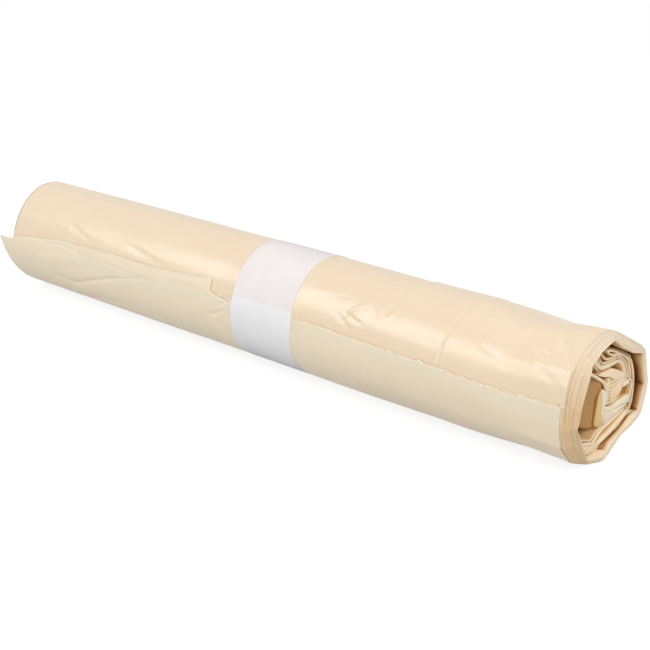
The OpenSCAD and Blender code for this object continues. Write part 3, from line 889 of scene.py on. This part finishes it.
def patch(outline, dome, back):
    """A pressed facet: a closed path, swelled in its middle by dome radii, and how many mm it goes back."""
    edge = softened(outline + outline[:1], 2)[:-1]
    mid = edge.mean(0)
    points, uv = [], []
    # From the edge inwards: share of the way from the middle, radii that it dips, mm that it goes back
    rings = ((1, 0, back), (1, 0.012, 0), (0.93, 0, 0), (0.7, 0, 0), (0.4, 0, 0), (0.15, 0, 0))
    for share, dip, drop in rings:
        here = edge * share + mid * (1 - share)
        where = placed(here)
        where[:, 0] = (here[:, 2] + dome * (1 - share ** 2) - dip) * R - drop
        points.append(where)
        uv.append(here[:, :2])
    n = len(edge)
    points.append(points[-1].mean(0)[None])
    uv.append(uv[-1].mean(0)[None])
    last = (len(rings) - 1) * n
    faces = grid_faces(len(rings), n, True).tolist()
    faces += [[last + j, last + (j + 1) % n, last + n] for j in range(n)]
    return np.concatenate(points), faces, [1] * n + [0] * (n * (len(rings) - 1)), np.concatenate(uv)


def slope(outer, inner, back):
    """A pressed strip of film between two paths with as many points each, and how many mm it goes back."""
    a, b = softened(outer, cut=SLOPE_CUT), softened(inner, cut=SLOPE_CUT)
    rows, uv = [], []
    section = ((0, back), (0, 0.12), (0.03, 0), (0.06, 0), (0.35, 0), (0.93, 0), (1, 0.3), (1, back))
    for share, drop in section:
        here = a * (1 - share) + b * share
        uv.append(here[:, :2])
        where = placed(here + np.array([0, 0, SLOPE_BULGE * math.sin(math.pi * share)]))
        where[:, 0] -= drop
        rows.append(where)
    faces = strip_faces(len(rows), len(a))
    return np.concatenate(rows), faces, [0] * len(faces), np.concatenate(uv)


def kept_inside(points, wall=1.0):
    """Pulls what would come through the roll's side near its end back to wall mm inside the outer film."""
    middle_yz = R * RIM_MID
    off = points[:, 1:] - middle_yz
    reach = np.maximum(np.linalg.norm(off, axis=1), 1e-6)
    along = off @ middle_yz / reach
    circle = -along + np.sqrt(R ** 2 - middle_yz @ middle_yz + along ** 2)
    w = end_weight(points[:, 0])
    limit = (1 - w) * circle + w * R * rim_share(np.degrees(np.arctan2(off[:, 1], off[:, 0]))) - wall
    return np.column_stack([points[:, 0], middle_yz + off * np.minimum(1, limit / reach)[:, None]])


def gather(name, parts, materials):
    """One piece from several strips and facets."""
    points, faces, picks, uv, start = [], [], [], [], 0
    for p, f, k, t in parts:
        points.append(p)
        faces += [[start + i for i in face] for face in f]
        picks += k
        uv.append(t)
        start += len(p)
    points = kept_inside(np.concatenate(points))
    make_piece(name, points, faces, materials, picks, uv=np.concatenate(uv), tidy=True)


def end_piece(name, back, front, sides, ribbons=(), patches=()):
    gather(name, [ribbon(path, thick, back) for path, thick in ribbons]
           + [patch(outline, dome, back) for outline, dome in patches], [front, sides])


# The gap's lower lip, film pressed into facets between the rim's crest and the coil: outer and inner edge
LIP = (
    [(980, -405, 8), (895, -485, 8), (760, -588, 8), (605, -630, 8), (485, -665, 8), (390, -726, 8),
     (297, -805, 8), (210, -862, 8), (115, -912, 8), (30, -917, 8), (-100, -902, 8), (-220, -880, 8),
     (-330, -858, 8)],
    [(880, -400, -30), (773, -395, -45), (663, -429, -55), (578, -496, -50), (492, -550, -45),
     (391, -604, -45), (281, -654, -45), (176, -711, -45), (123, -800, -35), (30, -775, -60),
     (-60, -765, -70), (-200, -775, -60), (-330, -790, -30)])
# A dark sheet of painted shadow in the narrow gap that stays open between the lip and the coil, wider at its
# lower end
LIP_SHADOW = (
    [(790, -390, -70), (673, -434, -70), (588, -501, -70), (502, -556, -70), (400, -610, -70),
     (290, -660, -70), (186, -720, -75), (140, -755, -80), (123, -816, -80)],
    [(741, -380, -80), (628, -412, -80), (540, -474, -80), (451, -526, -80), (347, -578, -80),
     (228, -626, -80), (104, -671, -85), (27, -710, -90), (-37, -745, -90)])
# Ribbons, each a path and its thickness: round the top and right of the coil from the outermost one in, then
# those of the foot
COIL = [
    ([(140, 715, -160), (300, 670, -180), (450, 600, -190), (620, 510, -200), (700, 450, -200),
      (750, 310, -200), (785, 160, -200), (790, 0, -200), (780, -200, -200), (740, -330, -200)], 45),
    ([(60, 700, -60), (190, 675, -80), (360, 605, -100), (480, 545, -110), (560, 495, -120),
      (625, 465, -120), (675, 415, -120), (725, 290, -120), (755, 170, -120), (765, 20, -130),
      (755, -140, -130), (730, -270, -140), (680, -360, -140), (610, -425, -150), (420, -500, -150),
      (240, -590, -150), (80, -670, -140), (-70, -735, -100), (-240, -735, -50), (-380, -745, 0)], 35),
    ([(70, 695, -50), (120, 645, -60), (170, 610, -70), (310, 590, -90), (400, 575, -100), (490, 525, -110),
      (565, 475, -120), (610, 415, -120), (655, 270, -130), (680, 150, -130), (700, 50, -130)], 30),
    ([(-50, 670, -30), (10, 600, -40), (60, 570, -60), (160, 565, -80), (270, 580, -90), (340, 570, -100),
      (430, 520, -110), (510, 455, -120), (570, 360, -120), (620, 220, -130), (640, 120, -130)], 25),
    ([(-110, 620, -30), (-70, 560, -40), (-30, 530, -50), (80, 530, -70), (250, 540, -90), (340, 540, -100),
      (430, 485, -110), (500, 400, -120), (560, 270, -120), (580, 190, -120)], 20),
    ([(-160, 610, -20), (-100, 540, -40), (-50, 500, -50), (60, 495, -60), (230, 505, -80), (350, 505, -100),
      (430, 460, -110), (490, 385, -110), (540, 280, -120), (560, 200, -120)], 18),
    ([(-200, 585, -20), (-130, 520, -30), (-65, 465, -40), (20, 455, -50), (180, 462, -70), (310, 482, -90),
      (385, 475, -100), (450, 420, -100), (500, 330, -110), (530, 240, -110)], 55),
    ([(-260, 565, -10), (-180, 490, -30), (-110, 435, -50)], 18),
    ([(-500, -500, 0), (-350, -525, -10), (-215, -572, -30), (-150, -500, -40), (-80, -450, -50),
      (0, -425, -60), (220, -365, -70), (400, -305, -80), (550, -268, -90)], 24),
    ([(-480, -580, 0), (-290, -600, -20), (-155, -645, -50), (-100, -575, -70), (0, -490, -80),
      (240, -405, -90), (430, -330, -100), (550, -290, -100)], 55),
    ([(-450, -665, 0), (-300, -675, -30), (-160, -690, -70), (-60, -690, -100), (40, -600, -120),
      (190, -500, -130), (300, -435, -130), (450, -360, -140), (600, -335, -140), (670, -340, -140)], 100),
    ([(677, -355, -65), (576, -389, -60), (482, -446, -60), (387, -497, -60), (280, -548, -60),
      (168, -593, -65), (44, -636, -70), (-45, -675, -80), (-100, -700, -120)], 85)]
RIDGE = [
    ([(-340, 462, 0), (-210, 392, 0), (-100, 325, 0), (0, 262, 0), (50, 220, 0), (82, 165, -10),
      (90, 100, -20)], 55)]
PLEATS = [
    ([(160, 210, -40), (220, 200, -45), (330, 200, -50), (450, 200, -55), (580, 212, -60)], 32),
    ([(165, 145, -40), (250, 140, -45), (360, 160, -50), (470, 175, -60), (570, 198, -65)], 30),
    ([(170, 80, -40), (270, 85, -50), (370, 118, -55), (470, 150, -60), (570, 185, -65)], 30),
    ([(170, 30, -40), (280, 40, -50), (370, 75, -60), (450, 118, -60), (550, 165, -65)], 30),
    ([(190, -25, -40), (300, -3, -50), (380, 38, -60), (460, 88, -60), (530, 135, -65)], 30),
    ([(200, -70, -40), (310, -45, -50), (385, -10, -60), (450, 45, -60), (500, 95, -65)], 28),
    ([(145, 270, -35), (140, 160, -35), (133, 50, -35), (140, -40, -35), (160, -100, -40)], 50),
    ([(100, 220, -30), (100, 120, -30), (100, 20, -30), (108, -60, -30)], 26),
    ([(80, -100, -30), (200, -105, -35), (310, -95, -40), (400, -60, -50)], 24)]
CRUMPLE = [
    ([(470, 85, -50), (520, 100, -30), (580, 130, -30), (660, 130, -40), (710, 100, -50), (715, 20, -50),
      (690, -80, -50), (685, -170, -60), (675, -240, -80)], 30),
    ([(500, 60, -50), (560, 75, -30), (630, 100, -30), (670, 50, -40)], 35),
    ([(530, 150, -50), (590, 195, -40), (650, 155, -40)], 16)]
# Facets, each a closed path
PANEL = [(-350, 450, -100), (-200, 372, -60), (-110, 305, -40), (-30, 250, -30), (-30, 170, -40),
    (-90, 50, -60), (-120, -70, -70), (-140, -200, -70), (-170, -400, -80), (-540, -310, -160),
    (-520, -100, -160), (-470, 170, -140)]
HOLLOW = [(-40, 160, -90), (-20, 230, -90), (50, 230, -90), (100, 150, -90), (90, 90, -90), (20, 110, -90)]
CAVE = [(400, -100, -130), (500, 40, -130), (600, 70, -130), (680, 50, -130), (650, -50, -130),
    (500, -90, -130)]
STRIP = [(-35, 130, -10), (-90, 50, -20), (-120, -80, -30), (-150, -240, -40), (-165, -385, -50),
    (-20, -410, -20), (30, -425, -10), (25, -170, -10), (10, 60, -10)]
WHITE = [(-25, 160, 0), (40, 125, -10), (100, 90, -20), (115, -70, -20), (75, -110, -20), (45, -200, -20),
    (30, -350, -20), (12, -300, 0), (8, 0, 0)]
PLEAT_BED = [(60, 250, -60), (150, 300, -70), (300, 235, -80), (500, 210, -80), (600, 215, -80),
    (540, 120, -80), (420, -50, -80), (360, -100, -80), (100, -120, -60), (90, 100, -50)]
BLOCK = [(-130, 385, -50), (-40, 400, -60), (70, 405, -70), (210, 415, -90), (360, 352, -100),
    (510, 285, -100), (630, 205, -80), (660, 150, -60), (560, 205, -50), (420, 205, -50), (320, 200, -50),
    (230, 235, -40), (150, 300, -40), (-10, 325, -40)]
FLAP_TOP = [(70, -140, -40), (200, -155, -45), (430, -100, -55), (670, -75, -65), (700, -180, -60),
    (660, -212, -50), (440, -200, -40), (320, -228, -35), (200, -235, -30), (80, -210, -30)]
FLAP_LOW = [(45, -415, -50), (35, -290, -30), (80, -200, -20), (110, -215, -20), (230, -238, -30),
    (390, -215, -40), (650, -215, -50), (540, -265, -60), (400, -308, -60), (220, -362, -60)]

gather("gap_lip", [slope(*LIP, 10.0)], [film_lip])
gather("lip_shadow", [slope(*LIP_SHADOW, 4.0)], [film_cave])
end_piece("coil_ribbons", 6.0, fold_plies, film_inner, COIL)
end_piece("fold_ridge", 13.0, fold_side, film_panel, RIDGE)
end_piece("recess_panel", 8.0, film_panel, film_panel, patches=[(PANEL, 0.0)])
end_piece("recess_hollows", 6.0, film_cave, film_cave, patches=[(HOLLOW, 0.0), (CAVE, 0.0)])
end_piece("fold_strip", 8.0, film_strip, film_panel, patches=[(STRIP, 0.01)])
end_piece("fold_facet", 8.0, film_white, film_panel, patches=[(WHITE, 0.01)])
end_piece("pleat_bed", 8.0, film_inner, film_inner, patches=[(PLEAT_BED, 0.0)])
end_piece("pleats", 2.0, fold_plies, film_inner, PLEATS)
end_piece("fold_block", 9.0, fold_plies, film_inner, patches=[(BLOCK, 0.01)])
end_piece("pale_folds", 8.0, film_white, film_inner, CRUMPLE, [(FLAP_TOP, 0.025)])
end_piece("pale_flap", 8.0, film_pale, film_inner, patches=[(FLAP_LOW, 0.03)])

# Stage: a pale floor that shows as white and keeps the soft shadow, and white all round. Both are darker
# where they only light the roll than where they show.
FLOOR_HALF = 4.0
FLOOR_SEEN, FLOOR_UNSEEN = (0.32, 0.32, 0.32), (0.42, 0.42, 0.42)
FLOOR_SHINE = 0.82
SKY_UNSEEN, SKY_SEEN = 0.46, 1.0
WHITE_LIGHT = (1, 1, 1)


def floor_material():
    material = bpy.data.materials.new("floor")
    n = Nodes(material)
    n.tree.nodes.clear()
    camera_ray, shown = n.backdrop_rays()
    diffuse = n.node("ShaderNodeBsdfDiffuse", Color=n.blend(camera_ray, FLOOR_UNSEEN, FLOOR_SEEN))
    shine = n.node("ShaderNodeEmission", Color=WHITE_LIGHT, Strength=n.sums(shown, FLOOR_SHINE, "MULTIPLY"))
    both = n.node("ShaderNodeAddShader", _0=diffuse.outputs[0], _1=shine.outputs[0])
    n.node("ShaderNodeOutputMaterial", Surface=both.outputs[0])
    return material


floor_mesh = bpy.data.meshes.new("floor")
corners = [(x * FLOOR_HALF, y * FLOOR_HALF, 0) for x, y in ((-1, -1), (1, -1), (1, 1), (-1, 1))]
floor_mesh.from_pydata(corners, [], [(0, 1, 2, 3)])
floor_mesh.materials.append(floor_material())
floor = bpy.data.objects.new("floor", floor_mesh)
bpy.context.collection.objects.link(floor)

world = bpy.data.worlds.new("studio")
bpy.context.scene.world = world
sky = Nodes(world)
strength = sky.node("ShaderNodeMapRange", Value=sky.backdrop_rays()[1], To_Min=SKY_UNSEEN, To_Max=SKY_SEEN)
sky.fill(sky.tree.nodes["Background"], Color=WHITE_LIGHT, Strength=strength.outputs["Result"])


def aimed(obj, place, direction):
    obj.location = place
    obj.rotation_mode = "QUATERNION"
    obj.rotation_quaternion = direction.to_track_quat("-Z", "Y")
    bpy.context.collection.objects.link(obj)


def lamp(name, place, target, size, power):
    light = bpy.data.lights.new(name, "AREA")
    light.shape = "RECTANGLE"
    light.size, light.size_y = size
    light.energy = power
    aimed(bpy.data.objects.new(name, light), place, Vector(target) - Vector(place))


lamp("overhead", (-0.3, 0.05, 1.5), (0, 0, 0), (1.6, 1.2), 2.6)
lamp("front_left", (-0.68, -0.74, 0.58), (0.05, 0, 0.02), (0.66, 0.36), 2.3)
lamp("front_low", (0.42, -1.38, 0.22), (0, 0, 0.02), (1.4, 0.4), 5.5)
lamp("end_fill", (1.3, -0.2, 0.9), (0.15, 0, 0.02), (0.8, 0.8), 9.2)

# Camera: its place in radii from the near rim's middle, as fitted to the photograph
EYE = np.array([11.465, -16.489, 7.351])
PITCH, YAW = math.radians(17.626), math.radians(135.957)
LENS = 83.1
camera_data = bpy.data.cameras.new("camera")
camera_data.lens = LENS
camera_data.clip_start = 0.01
camera_data.clip_end = 20.0
camera = bpy.data.objects.new("camera", camera_data)
forward = Vector((math.cos(PITCH) * math.cos(YAW), math.cos(PITCH) * math.sin(YAW), -math.sin(PITCH)))
aimed(camera, ((NEAR_RIM + R * EYE) / 1000).tolist(), forward)
bpy.context.scene.camera = camera
bpy.context.scene.view_settings.view_transform = "Standard"
